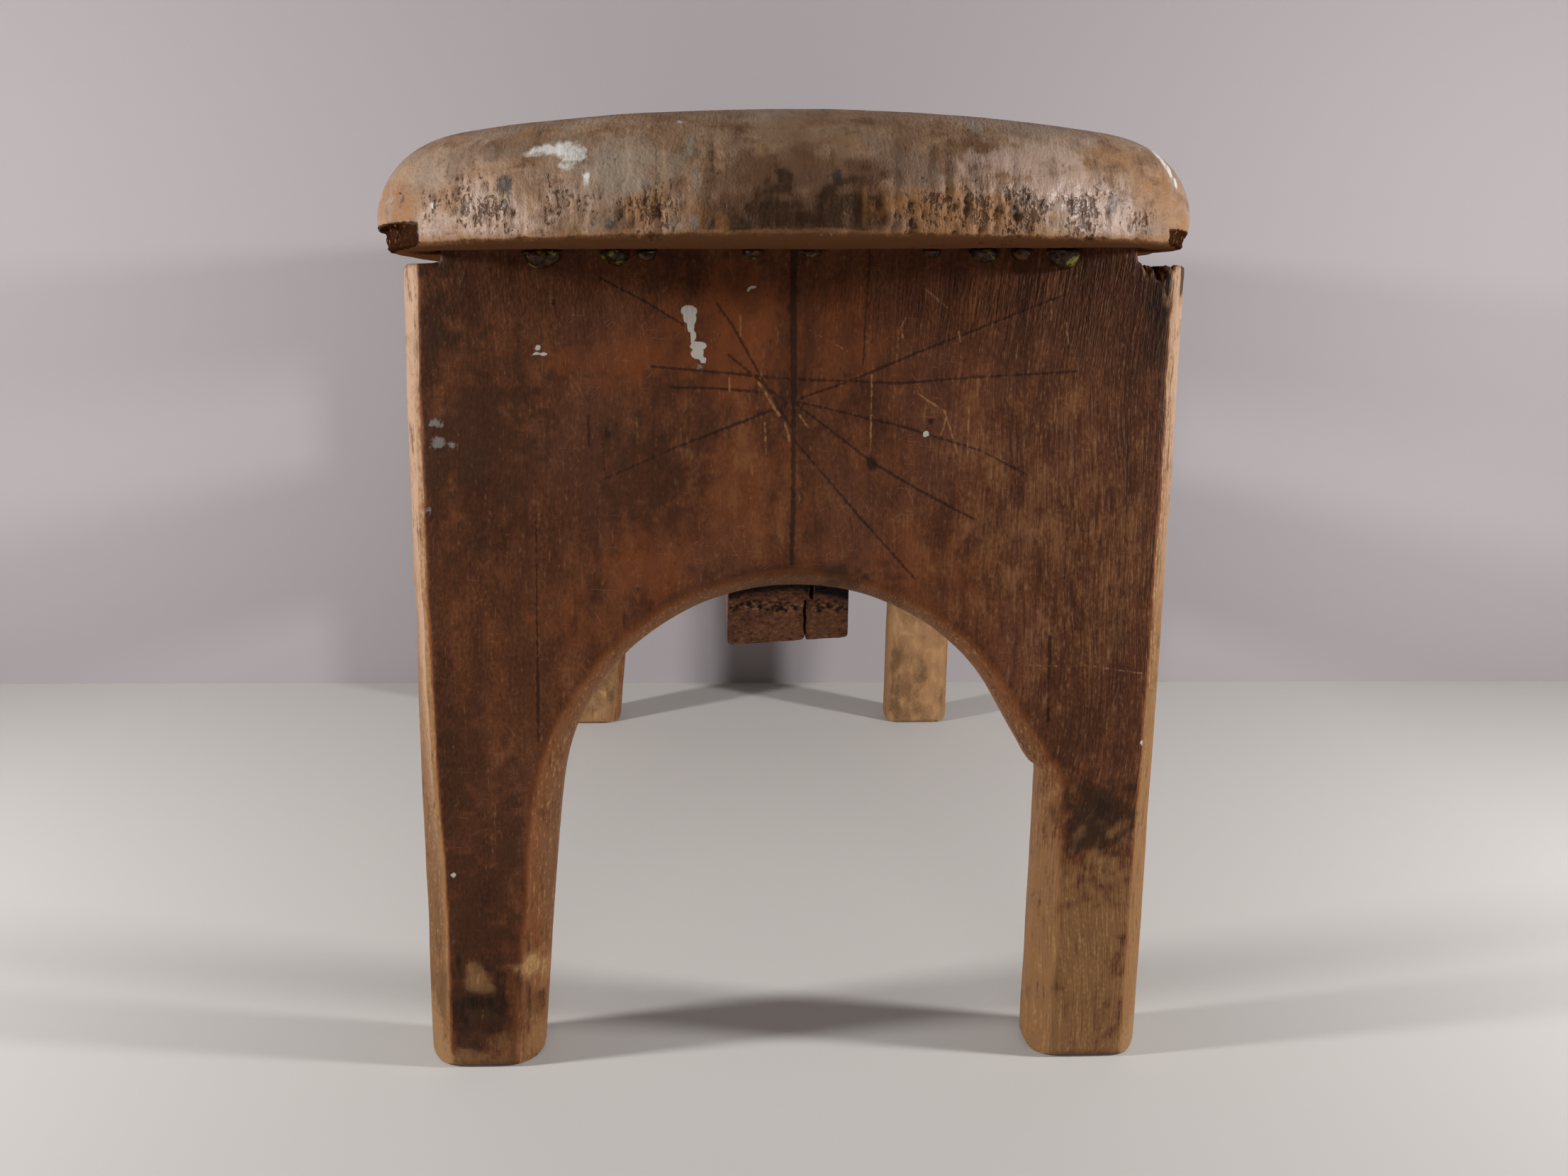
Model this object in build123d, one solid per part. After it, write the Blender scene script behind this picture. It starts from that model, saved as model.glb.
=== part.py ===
# Low wooden stool: a thick slab seat with bowed ends is housed on two arched end boards, and a rail
# ties the boards together under the seat. Millimetres, +Z up, the seat's length along Y, and the
# origin on the floor under the middle of the seat. The front end is the one at negative Y.
import os
from math import acos, atan2, cos, hypot, radians, sin, tan

from build123d import *

# Seat slab, whose left edge hangs a little lower than its right one.
seat_width = 241.0
seat_overhang = 60.0
seat_thickness = 33.4
seat_crown = 3.0
seat_end_bow = 57.0
seat_corner_radius = 60.0
seat_edge_radius = 25.0
seat_arris_radius = 2.5
seat_lean_degrees = 1.0
seat_offset = 3.0

# End boards, both sawn from one pattern.
board_spacing = 344.0
board_thickness = 22.0
board_height = 258.6
board_top_width = 230.0
board_foot_width = 234.0
left_leg_width = 36.5
right_leg_width = 37.6
arch_centre_height = 85.6
arch_inset = 6.7
arch_offset = 0.8
nick_height = 100.0
nick_depth = 3.0
foot_corner_radius = 7.0
board_chamfer = 5.0
foot_chamfer = 1.5

# Tongue on top of each board, and the stopped housing that takes it.
housing_depth = 11.0
left_shoulder_width = 11.5
right_shoulder_width = 16.0
shoulder_gap = 4.6
housing_clearance = 0.2

# Rail between the boards, with a stub tenon at each end and a split in its front end.
rail_width = 39.0
rail_height = 58.0
rail_drop = 22.0
rail_skew = 2.6
rail_offset = 1.0
rail_arris_radius = 1.0
tenon_thickness = 18.0
tenon_length = 12.0
tenon_lower_shoulder = 8.0
tenon_upper_shoulder = 3.0
tenon_clearance = 0.2
tenon_end_clearance = 0.8
split_width = 1.8
split_length = 62.0
split_offset = 5.3
split_height = 14.0
split_jog = 2.0

# Broken lower corners at the seat's front end. Each runs from one angle to another round the seat's
# rounded corner, where 0 faces sideways and -90 faces the front.
left_chip_height = 6.0
left_chip_degrees = (-46.0, 6.0)
right_chip_height = 4.0
right_chip_degrees = (-42.0, -4.0)

# Beads of old glue squeezed out along the front joint.
bead_length = 13.0
bead_drop = 5.0
bead_place_shares = [0.145, 0.247, 0.292, 0.444, 0.525, 0.699, 0.772, 0.828, 0.889]
bead_length_shares = [1.0, 0.75, 0.55, 0.5, 0.8, 0.45, 0.75, 0.6, 0.9]
bead_drop_shares = [1.0, 0.9, 0.65, 0.6, 0.45, 0.55, 0.75, 0.7, 1.1]

overrun = 5.0

slope = tan(radians(seat_lean_degrees))
tongue_left = left_shoulder_width - board_top_width / 2
tongue_right = board_top_width / 2 - right_shoulder_width
leg_left = left_leg_width - board_foot_width / 2
leg_right = board_foot_width / 2 - right_leg_width
arch_x = (leg_left + leg_right) / 2 + arch_offset
arch_radius = (leg_right - leg_left) / 2 - arch_inset
arch_crown = arch_centre_height + arch_radius
front_inside = -board_spacing / 2
front_face = front_inside - board_thickness
rail_bottom = arch_crown - rail_drop
rail_top = rail_bottom + rail_height
tenon_bottom = arch_crown + tenon_lower_shoulder
tenon_top = rail_top - tenon_upper_shoulder
seat_end = front_face - seat_overhang
end_arc_radius = ((seat_width / 2) ** 2 + seat_end_bow**2) / (2 * seat_end_bow)
side_thickness = seat_thickness - seat_crown
edge_radius = min(seat_edge_radius, side_thickness - 2 * seat_arris_radius)


def underside(x):
    """Height of the seat's underside at a place across the boards."""
    return board_height + x * slope


def across(profile, front, depth):
    """Solid of a profile drawn in X and Z, running from front towards the rear."""
    return Pos(0, front, 0) * extrude(Plane.XZ * profile, -depth)


def arch_touch(x, z, side):
    """Point where the straight line from a place on the leg runs into the arch."""
    along = x - arch_x
    up = z - arch_centre_height
    angle = atan2(up, along) + side * acos(arch_radius / hypot(along, up))
    return (arch_x + arch_radius * cos(angle), arch_centre_height + arch_radius * sin(angle))


def tongue_profile(clearance):
    """The tongue's outline, widened at its sides and run down past the shoulders."""
    left = tongue_left - clearance
    right = tongue_right + clearance
    return Polygon(
        (left, underside(left) - shoulder_gap - overrun),
        (right, underside(right) - shoulder_gap - overrun),
        (right, underside(right) + housing_depth),
        (left, underside(left) + housing_depth),
        align=None,
    )


def board_profile():
    """Outline of an end board: two legs, the arch between them and the tongue on top."""
    foot = board_foot_width / 2
    top = board_top_width / 2
    slab = Polygon(
        (-foot, 0),
        (foot, 0),
        (top, underside(top) - shoulder_gap),
        (-top, underside(-top) - shoulder_gap),
        align=None,
    )
    nick = (leg_right - nick_depth, nick_height)
    legroom = Polygon(
        (leg_left, 0),
        arch_touch(leg_left, 0, -1),
        arch_touch(*nick, 1),
        nick,
        (leg_right, nick_height),
        (leg_right, 0),
        align=None,
    )
    arch = Pos(arch_x, arch_centre_height) * Circle(arch_radius)
    return slab + tongue_profile(0) - arch - legroom


def foot_shape(outline, front):
    """Envelope that rounds the feet in the front view and eases the soles in the side view."""
    feet = [corner for corner in outline.vertices() if corner.Y < arch_centre_height / 2]
    rounded = across(fillet(feet, foot_corner_radius), front, board_thickness)
    side = Rectangle(board_thickness, 2 * board_height, align=Align.MIN)
    side = chamfer(side.vertices().group_by(Axis.Y)[0], foot_chamfer)
    return rounded & Pos(0, front, 0) * extrude(Plane.YZ * side, board_foot_width, both=True)


def rail_joint(inside, clearance, end_clearance):
    """Stub tenon, or with clearances its mortise, reaching out from a board's inside face."""
    outwards = 1 if inside > 0 else -1
    reach = tenon_length + end_clearance + overrun
    width = tenon_thickness + 2 * clearance
    height = tenon_top - tenon_bottom + 2 * clearance
    middle = inside + outwards * (reach / 2 - overrun)
    return Pos(-rail_offset, middle, (tenon_top + tenon_bottom) / 2) * Box(width, reach, height)


def make_board(front, inside):
    """One end board, with the mortise for the rail's tenon cut into its inside face."""
    outline = board_profile()
    board = across(outline, front, board_thickness)
    arrises = [
        edge
        for edge in board.edges()
        if abs(edge.tangent_at(0.5).Y) < 0.5 and foot_chamfer < edge.center().Z < tenon_top
    ]
    board = chamfer(arrises, board_chamfer) & foot_shape(outline, front)
    return board - rail_joint(inside, tenon_clearance, tenon_end_clearance)


def make_rail():
    """The rail under the seat, shouldered against both boards."""
    half = rail_width / 2
    section = Polygon(
        (-half, rail_bottom - rail_skew / 2),
        (half, rail_bottom + rail_skew / 2),
        (half, rail_top),
        (-half, rail_top),
        align=None,
    )
    section = fillet(section.vertices(), rail_arris_radius)
    rail = Pos(-rail_offset, 0, 0) * across(section, front_inside, board_spacing)
    rail += rail_joint(front_inside, 0, 0)
    rail += rail_joint(-front_inside, 0, 0)
    wedge = Polygon(
        (-split_width / 2, 0),
        (split_width / 2, 0),
        (0, split_length),
        align=None,
    )
    lower = extrude(wedge, split_height + overrun)
    upper = extrude(wedge, tenon_bottom - rail_bottom - split_height)
    start = Pos(split_offset - rail_offset, front_inside, rail_bottom)
    rail -= start * Pos(0, 0, -overrun) * lower
    return rail - start * Pos(split_jog, 0, split_height) * upper


def chip_cut(side, height, degrees):
    """Prism that takes a broken lower corner off the level seat, on its left or right side."""
    middle_x = seat_width / 2 - seat_corner_radius
    to_arc = ((end_arc_radius - seat_corner_radius) ** 2 - middle_x**2) ** 0.5
    middle = Vector(side * middle_x, seat_end + end_arc_radius - to_arc)
    start, stop = (Vector(side * cos(radians(a)), sin(radians(a))) for a in degrees)
    clear = (start + stop) * seat_corner_radius
    start = middle + start * seat_corner_radius
    stop = middle + stop * seat_corner_radius
    chip = make_face(Polyline(start, stop, stop + clear, start + clear, close=True))
    return Pos(0, 0, -overrun) * extrude(chip, height + overrun, dir=(0, 0, 1))


def make_seat():
    """The slab with its bowed ends, rounded top edge and the two stopped housings below."""
    half = seat_width / 2
    corner = seat_end + seat_end_bow
    outline = make_face(
        [
            ThreePointArc((-half, corner), (0, seat_end), (half, corner)),
            Line((half, corner), (half, -corner)),
            ThreePointArc((half, -corner), (0, -seat_end), (-half, -corner)),
            Line((-half, -corner), (-half, corner)),
        ]
    )
    outline = fillet(outline.vertices(), seat_corner_radius)
    crown_radius = (half**2 + seat_crown**2) / (2 * seat_crown)
    crown = Pos(0, seat_thickness - crown_radius) * Circle(crown_radius)
    before_seat = seat_end - overrun
    seat = extrude(outline, seat_thickness) & across(crown, before_seat, -2 * before_seat)
    seat = fillet(seat.faces().sort_by(Axis.Z)[-1].edges(), edge_radius)
    seat = fillet(seat.faces().sort_by(Axis.Z)[0].edges(), seat_arris_radius)
    seat -= chip_cut(-1, left_chip_height, left_chip_degrees)
    seat -= chip_cut(1, right_chip_height, right_chip_degrees)
    seat = Pos(0, 0, board_height) * Rot(0, -seat_lean_degrees, 0) * Pos(-seat_offset, 0, 0) * seat
    housing = tongue_profile(housing_clearance)
    width = board_thickness + 2 * housing_clearance
    seat -= across(housing, front_face - housing_clearance, width)
    return seat - across(housing, -front_inside - housing_clearance, width)


def make_beads():
    """The glue beads, each lying in the corner between the front board and the seat."""
    beads = []
    for place, length, drop in zip(bead_place_shares, bead_length_shares, bead_drop_shares):
        x = tongue_left + place * (tongue_right - tongue_left)
        end = length * bead_length / 2
        profile = make_face(
            [
                ThreePointArc((-end, 0), (0, -drop * bead_drop), (end, 0)),
                Line((end, 0), (-end, 0)),
            ]
        )
        bead = revolve(profile, Axis.X, 90)
        beads.append(Pos(x, front_face, underside(x)) * Rot(0, -seat_lean_degrees, 0) * bead)
    return Compound(beads)


seat = make_seat()
centre = seat.bounding_box().center()
to_origin = Pos(-centre.X, -centre.Y, 0)
nodes = {
    "seat": seat,
    "front_board": make_board(front_face, front_inside),
    "rear_board": make_board(-front_inside, -front_inside),
    "rail": make_rail(),
    "glue_beads": make_beads(),
}
os.makedirs("parts", exist_ok=True)
for name, node in nodes.items():
    export_step(to_origin * node, "parts/" + name + ".step")
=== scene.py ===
# A low wooden stool seen from its front end: a thick slab seat on two arched end boards, with a rail
# between them and old glue squeezed out along the joint. Each piece is meshed finely from the packed
# model, worn and pitted in real millimetres, and finished with a material of its own.
from itertools import product
from math import cos, pi, radians, sin

import bpy
import numpy as np
from mathutils import Matrix, Vector


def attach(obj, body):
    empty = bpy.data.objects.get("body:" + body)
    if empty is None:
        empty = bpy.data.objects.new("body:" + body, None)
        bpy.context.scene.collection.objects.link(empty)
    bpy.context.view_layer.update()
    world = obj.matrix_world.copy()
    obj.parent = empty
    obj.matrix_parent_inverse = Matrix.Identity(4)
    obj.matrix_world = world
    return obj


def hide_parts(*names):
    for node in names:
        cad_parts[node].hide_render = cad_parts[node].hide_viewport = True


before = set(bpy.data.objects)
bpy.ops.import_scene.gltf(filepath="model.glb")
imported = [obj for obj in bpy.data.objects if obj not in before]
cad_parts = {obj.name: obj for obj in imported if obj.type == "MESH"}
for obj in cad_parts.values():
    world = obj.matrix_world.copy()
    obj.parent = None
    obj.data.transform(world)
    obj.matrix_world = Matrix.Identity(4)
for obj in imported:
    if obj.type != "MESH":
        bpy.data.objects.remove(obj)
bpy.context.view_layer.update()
mm = 0.001


# The seat: one slab of pale close-grained wood, about 33 mm thick, its grain running from end to end.
# Its ends were sawn to a bow and its top edge rounded over by hand. Long use has greyed and polished
# it, and woodworm and drying have pitted the end grain.
seat_voxel = 1.0
seat_front_y = -185.0
undulation = 0.35
arris_wear = 0.45
pit_sizes = (2.6, 1.7)
pit_depth = 1.2
dent_depth = 0.8
furrow_depth = 0.4

# Its lower front corners broke off: side, bearing and reach from the rounded corner's middle, and the
# height of the ledge left above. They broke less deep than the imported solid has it.
seat_corner = (60.4, -172.5)
seat_corner_radius = 59.0
chips = ((-1, -20.0, 53.9, 262.8), (1, -23.0, 56.7, 264.4))
chip_depth = 0.5
chip_fill = 0.55


def lumps(points, size, seed):
    """Smooth noise from -1 to 1 at each point, with lumps of the given sizes in millimetres."""
    spot = points / size + seed * 7.31
    cell = np.floor(spot).astype(np.int64)
    part = spot - cell
    part = part * part * (3 - 2 * part)
    total = np.zeros(len(points))
    for corner in product((0, 1), repeat=3):
        value = scattered(cell + corner, seed)
        total += (value * 2 - 1) * np.prod(np.where(corner, part, 1 - part), axis=1)
    return total


def scattered(cell, seed):
    """A fixed value from 0 to 1 for each whole-numbered cell."""
    x, y, z = cell.T
    mixed = (x * 73856093) ^ (y * 19349663) ^ (z * 83492791) ^ (seed * 2654435)
    mixed = ((mixed ^ (mixed >> 13)) * 1274126177) & 0xFFFFFFFF
    return ((mixed ^ (mixed >> 15)) & 0xFFFF) / 65535


def pits(points, size, share, seed):
    """How deep each point lies in a scatter of pits, 0 outside and 1 in the middle of one."""
    spot = points / size
    cell = np.floor(spot).astype(np.int64)
    deep = np.zeros(len(points))
    for step in product((-1, 0, 1), repeat=3):
        near = cell + step
        middle = near + np.stack([scattered(near, seed + k) for k in (1, 2, 3)], axis=1)
        width = 0.25 + 0.5 * scattered(near, seed + 4)
        here = 1 - np.linalg.norm(spot - middle, axis=1) / width
        deep = np.maximum(deep, np.where(scattered(near, seed + 5) < share, here, 0))
    return deep


def marks(points, places, ragged, seed):
    """Soft spots on an upright face, 1 in the middle and 0 at the rim: (x, z, half sizes, weight)."""
    field = np.zeros(len(points))
    wobble = ragged * (lumps(points, 5.0, seed) + lumps(points, 2.2, seed + 1))
    for x, z, wide, tall, weight in places:
        far = np.hypot((points[:, 0] - x) / wide, (points[:, 2] - z) / tall)
        field = np.maximum(field, weight * ease(far + wobble, 1.5, 0.35))
    return field


def ease(values, start, full):
    """Goes smoothly from 0 at the start to 1 at the full value."""
    share = np.clip((values - start) / (full - start), 0, 1)
    return share * share * (3 - 2 * share)


def relax(values, edges, rounds):
    """Values evened out along the mesh's edges, so many times over."""
    first, second = edges.T
    count = np.maximum(np.bincount(edges.ravel(), minlength=len(values)), 1)[:, None]
    for _ in range(rounds):
        total = np.stack(
            [
                np.bincount(first, column[second], len(values))
                + np.bincount(second, column[first], len(values))
                for column in values.T
            ],
            axis=1,
        )
        values = (values + total / count) / 2
    return values


def facing(mesh, points):
    """Unit normals of a mesh whose points are moved to the given places in millimetres."""
    mesh.vertices.foreach_set("co", (points * mm).ravel())
    mesh.update()
    normals = np.empty(points.size)
    mesh.vertices.foreach_get("normal", normals)
    return normals.reshape(-1, 3)


def worn_copy(name, node, voxel):
    """A fine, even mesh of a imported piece, ready to be worn: the new object, its points and edges in
    millimetres, their normals, and how far each point stands proud of the surface round it."""
    piece = bpy.data.objects.new(name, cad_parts[node].data.copy())
    bpy.context.scene.collection.objects.link(piece)
    remesh = piece.modifiers.new("even mesh", "REMESH")
    remesh.mode = "VOXEL"
    remesh.voxel_size = voxel * mm
    seen = piece.evaluated_get(bpy.context.evaluated_depsgraph_get())
    even = bpy.data.meshes.new_from_object(seen)
    piece.modifiers.clear()
    piece.data = even
    even.materials.clear()
    even.name = name
    points = np.empty(len(even.vertices) * 3)
    edges = np.empty(len(even.edges) * 2, np.int64)
    even.vertices.foreach_get("co", points)
    even.edges.foreach_get("vertices", edges)
    points, edges = points.reshape(-1, 3) / mm, edges.reshape(-1, 2)
    points = relax(points, edges, 2)
    normals = facing(even, points)
    proud = np.sum((points - relax(points, edges, 24)) * normals, axis=1)
    return piece, points, edges, normals, proud


def keep(piece, points, fields):
    """Puts the worn points back, stores each field on the mesh for the material to read, and gives
    the fields' names."""
    facing(piece.data, points)
    for name, values in fields.items():
        layer = piece.data.attributes.new(name, "FLOAT", "POINT")
        layer.data.foreach_set("value", values.astype(np.float32))
    piece.data.shade_smooth()
    return tuple(fields)


# Where the photograph shows marks on the seat's front end, as x, z, half width, half height, weight.
pitted_places = [
    (-83, 266, 10, 10, 1), (-93, 268, 8, 7, 0.8), (-60, 266, 10, 8, 0.85), (-38, 265, 10, 8, 1.05),
    (-72, 262, 9, 6, 0.8), (36, 266, 22, 7, 1.1), (57, 266, 12, 8, 1.1), (75, 267, 12, 8, 1.05),
    (90, 266, 9, 6, 0.8), (-107, 267, 3, 8, 0.9), (-25, 265, 9, 6, 0.6), (99, 271, 6, 4, 0.7),
]  # fmt: skip
pink_places = [
    (-84, 270, 7, 5, 0.6), (-83, 265, 8, 8, 0.6), (-73, 262, 16, 7, 0.55), (-92, 262, 13, 7, 0.5),
    (54, 278, 17, 4, 0.8), (70, 271, 19, 7, 1), (62, 281, 15, 4, 0.7), (82, 265, 11, 7, 0.8),
    (60, 285, 18, 3, 0.5), (-60, 268, 9, 8, 0.4), (44, 274, 8, 5, 0.5),
]  # fmt: skip
ochre_places = [
    (-39, 265, 8, 6, 0.9), (-28, 264, 6, 5, 0.6), (40, 265, 25, 7, 1.15), (-91, 269, 6, 5, 0.7),
    (-105, 267, 8, 8, 0.8), (100, 272, 12, 10, 0.8), (108, 265, 8, 8, 0.8), (-20, 261, 2.5, 4, 0.9),
    (14.5, 265, 0.8, 6, 1), (85, 283, 12, 4, 0.6), (-115, 268, 4, 8, 0.7), (52, 263, 8, 3, 0.5),
]  # fmt: skip
dark_places = [
    (-8, 264, 16, 9, 1.1), (9, 265, 15, 9, 1.2), (-3, 274, 21, 8, 0.62), (-17, 262, 9, 7, 1.1),
    (2, 285, 30, 6, 0.25), (24, 277, 12, 7, 0.45), (-48, 262, 7, 4, 0.45), (38, 278, 16, 5, 0.5),
    (-18, 270, 9, 10, 0.6), (1, 262, 5, 5, 1.1), (-6, 270, 5, 6, 1.1), (13, 273, 6, 6, 0.9),
    (-76, 281, 17, 4, 0.45), (-102, 268, 12, 7, 0.35), (-66, 271, 12, 6, 0.35), (45, 281, 12, 4, 0.7),
    (58, 278, 11, 3.5, 0.5), (78, 275, 9, 3, 0.2), (-30, 279, 5, 9, 0.35),
]  # fmt: skip
haze_places = [
    (-47, 277, 14, 7, 0.75), (-58, 281, 15, 5, 0.6), (-42, 271, 10, 3, 0.9), (-33, 274, 8, 6, 0.6),
    (-90, 279, 16, 4, 0.5), (-100, 275, 8, 4, 0.5), (-28, 281, 1.3, 4, 1), (-26.5, 273, 1.1, 4.5, 1),
    (44, 288, 2.5, 2.5, 0.9), (-27, 262, 1.3, 2.2, 1.3), (17, 279, 4, 4, 0.4),
]  # fmt: skip
blue_places = [
    (-75.5, 271.5, 2.4, 2.6, 1.2), (-74.5, 268.6, 1.4, 3.2, 0.6), (-72, 274, 3, 1.4, 0.35),
    (-48, 261.5, 2, 2, 0.9), (-52, 262, 4, 3, 0.4), (7, 273.5, 1.8, 1.7, 1), (53.5, 267, 1.5, 1.6, 1),
    (83.5, 270.5, 3.8, 3.2, 0.65), (80, 272.5, 3, 2, 0.5), (-112, 270, 2.5, 5, 0.4),
    (-14, 263, 1.7, 2.2, 0.6), (-5, 270, 1.4, 1.6, 0.5), (-47, 276, 2, 5, 0.3),
]  # fmt: skip
chalk_places = [
    (-64, 280.5, 4.6, 1.6, 1), (-59.5, 280.5, 4.6, 2.6, 1), (-56, 278.5, 3, 2.6, 1),
    (-59, 276.4, 2.4, 1.8, 0.9), (-53.8, 272.5, 0.9, 1.9, 1), (-67, 279, 3, 0.8, 0.7),
    (-96, 267, 0.9, 0.8, 1.4), (-31, 287, 1.3, 0.6, 1), (102.5, 286.4, 1.1, 1.7, 1.5),
    (103.6, 283.8, 1.2, 2, 1.5), (105.4, 280.8, 1.2, 2, 1.5), (107.4, 278, 1, 1.8, 1.5),
    (67, 269, 2, 1.5, 0.6),
]  # fmt: skip

seat, points, edges, normals, proud = worn_copy("worn_seat", "seat", seat_voxel)
front = ease(points[:, 1], seat_front_y, seat_front_y - 12)
end_grain = ease(np.abs(normals[:, 1]), 0.25, 0.6) * ease(points[:, 2], 284, 279)
pitted = front * marks(points, pitted_places, 0.25, 11)
pitted = np.maximum(pitted, 0.7 * end_grain * (1 - front) * ease(lumps(points, 14.0, 12), 0, 0.4))
deep = np.zeros(len(points))
wormy = pitted > 0.05
for seed, size in enumerate(pit_sizes):
    found = pits(points[wormy], (size, size, size * 1.35), 0.75, 20 + 10 * seed) * pitted[wormy]
    deep[wormy] = np.maximum(deep[wormy], found * size / pit_sizes[0])
dents = dent_depth * pits(points, (11, 14, 11), 0.05, 40)
furrows = end_grain * np.clip(lumps(points, (2.2, 60, 14), 13), -0.2, 1)
chipped = np.zeros(len(points))
filled = np.zeros_like(points)
for side, bearing, reach, ledge in chips:
    off = points[:, :2] * (side, 1) - seat_corner
    across = off @ (cos(radians(bearing)), sin(radians(bearing)))
    here = ease(across, reach - 1.2, reach) * ease(points[:, 2], ledge + 1, ledge)
    far = np.maximum(np.linalg.norm(off, axis=1), 1)
    missing = np.clip(seat_corner_radius - far, 0, None) * here * chip_fill / far
    filled[:, :2] += off * (side, 1) * missing[:, None]
    chipped = np.maximum(chipped, here)
wave = undulation * (lumps(points, 42.0, 1) + lumps(points, 17.0, 2) / 2)
worn = arris_wear * np.clip(proud, 0, 2) * (1 + 0.7 * lumps(points, 9.0, 3))
rough = chip_depth * chipped * (lumps(points, 2.6, 14) + lumps(points, 1.3, 15))
sink = wave - worn - pit_depth * deep - dents - furrow_depth * furrows + rough
fields = keep(
    seat,
    points + filled + normals * sink[:, None],
    {
        "end_grain": end_grain,
        "pitted": pitted,
        "deep": deep,
        "chipped": chipped,
        "below": -normals[:, 2],
        "along": ease(np.abs(normals[:, 1]), 0.6, 0.25),
        "pink": front * marks(points, pink_places, 0.3, 51),
        "ochre": front * marks(points, ochre_places, 0.25, 53),
        "dark": front * marks(points, dark_places, 0.35, 55),
        "haze": front * marks(points, haze_places, 0.2, 57),
        "blue": front * marks(points, blue_places, 0.25, 59),
        "chalk": front * marks(points, chalk_places, 0.2, 61),
    },
)


def linear(code):
    """Linear colour of an sRGB hex value."""
    parts = (int(code[i : i + 2], 16) / 255 for i in (1, 3, 5))
    return (*(c / 12.92 if c <= 0.04045 else ((c + 0.055) / 1.055) ** 2.4 for c in parts), 1.0)


def feed(tree, node, inputs):
    """Puts values, or other nodes' outputs, on a node's inputs."""
    for key, value in inputs.items():
        if isinstance(value, bpy.types.NodeSocket):
            tree.links.new(value, node.inputs[key])
        else:
            node.inputs[key].default_value = value


def add(tree, kind, inputs=None, **settings):
    """Adds a shader node with its settings and what its inputs are fed."""
    made = tree.nodes.new("ShaderNode" + kind)
    for name, value in settings.items():
        setattr(made, name, value)
    feed(tree, made, inputs or {})
    return made


def new_finish(name, fields=()):
    """A material, its tree, its principled shader, the place on the object in millimetres, and the
    fields that were stored on the mesh."""
    finish = bpy.data.materials.new(name)
    finish.use_nodes = True
    tree = finish.node_tree
    here = add(tree, "TexCoord").outputs["Object"]
    place = add(tree, "VectorMath", {0: here, "Scale": 1 / mm}, operation="SCALE").outputs[0]
    read = {f: add(tree, "Attribute", attribute_name=f).outputs["Fac"] for f in fields}
    return finish, tree, tree.nodes["Principled BSDF"], place, read


def figure(tree, place, size, detail, seed, output=0):
    """Wood figure, or a stain's cloudiness: soft noise with marks of the given sizes in millimetres."""
    squeeze = tuple(1 / s for s in size)
    scaled = add(tree, "VectorMath", {0: place, 1: squeeze}, operation="MULTIPLY").outputs[0]
    inputs = {"Vector": scaled, "W": seed, "Scale": 1.0, "Detail": detail}
    return add(tree, "TexNoise", inputs, noise_dimensions="4D").outputs[output]


def stirred(tree, place, size, reach, seed):
    """The place pushed about by soft noise, as far as the reach each way, so that a figure bends."""
    inputs = {0: figure(tree, place, size, 1.0, seed, output=1), 1: reach, 2: place}
    return add(tree, "VectorMath", inputs, operation="MULTIPLY_ADD").outputs[0]


def laid(tree, under, tone, mask, start, full, most=1.0):
    """The colour under it, with a tone laid over it as the mask goes from start to full."""
    span = {"Value": mask, "From Min": start, "From Max": full, "To Max": most}
    share = add(tree, "MapRange", span, interpolation_type="SMOOTHSTEP").outputs[0]
    return add(tree, "Mix", {0: share, 6: under, 7: linear(tone)}, data_type="RGBA").outputs[2]


def summed(tree, parts, total=0.0):
    """A total to which values are added, each with its own weight."""
    for value, weight in parts:
        total = add(tree, "Math", {0: value, 1: weight, 2: total}, operation="MULTIPLY_ADD").outputs[0]
    return total


def varied(tree, middle, parts):
    """A value moved up and down by figures, each with its own weight, that run from 0 to 1."""
    return summed(tree, parts, summed(tree, [(middle, 1.0)], -sum(weight for _, weight in parts) / 2))


def toned(tree, parts, stops):
    """A wood's own colours, dark to pale, laid out by its figure."""
    ramp = add(tree, "ValToRGB", {0: varied(tree, 0.5, parts)})
    spans = ramp.color_ramp.elements
    for at, code in stops:
        spans.new(at).color = linear(code)
    spans.remove(spans[0])
    spans.remove(spans[len(spans) - 1])
    return ramp.outputs[0]


# Old beech slab, planed once and handled for decades: brown-grey and soft where it was touched, with
# a low sheen there, and dull dark holes and furrows where the fibres end; the finest holes get painted
# shade as well as dirt. Dust and dry fibres keep the specular level low. Beech's pores are under 0.1 mm
# wide, and are drawn at 0.6 mm so that they show.
finish, tree, shader, place, read = new_finish("hand-worn beech", fields)
bent = stirred(tree, place, (70, 160, 60), (24, 0, 10), 3.1)
loose = stirred(tree, place, (9, 12, 7), (9, 12, 7), 3.6)
streaks = figure(tree, bent, (6, 260, 24), 3.0, 1.0)
fibres = figure(tree, bent, (1.1, 60, 6), 2.0, 2.0)
long_grain = figure(tree, bent, (5, 320, 9), 4.0, 3.0)
clouds = figure(tree, loose, (28, 40, 16), 4.0, 4.0)
specks = figure(tree, place, (1.1, 1.5, 1.3), 3.0, 5.0)
pores = figure(tree, bent, (0.6, 12, 0.8), 1.0, 6.0)
grime = figure(tree, loose, (9, 14, 7), 5.0, 7.0)
smears = figure(tree, loose, (20, 13, 3.0), 4.0, 9.0)
wood = toned(
    tree,
    [(streaks, 0.4), (clouds, 0.5), (fibres, 0.15), (grime, 0.6), (smears, 0.5), (specks, 0.25)],
    [(0.27, "#5c432f"), (0.40, "#795b44"), (0.53, "#907259"), (0.68, "#aa8e74")],
)
mottled = varied(tree, smears, [(grime, 1.0), (streaks, 0.7), (specks, 0.3)])
wood = laid(tree, wood, "#674c36", mottled, 0.58, 0.82, 0.55)
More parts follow.
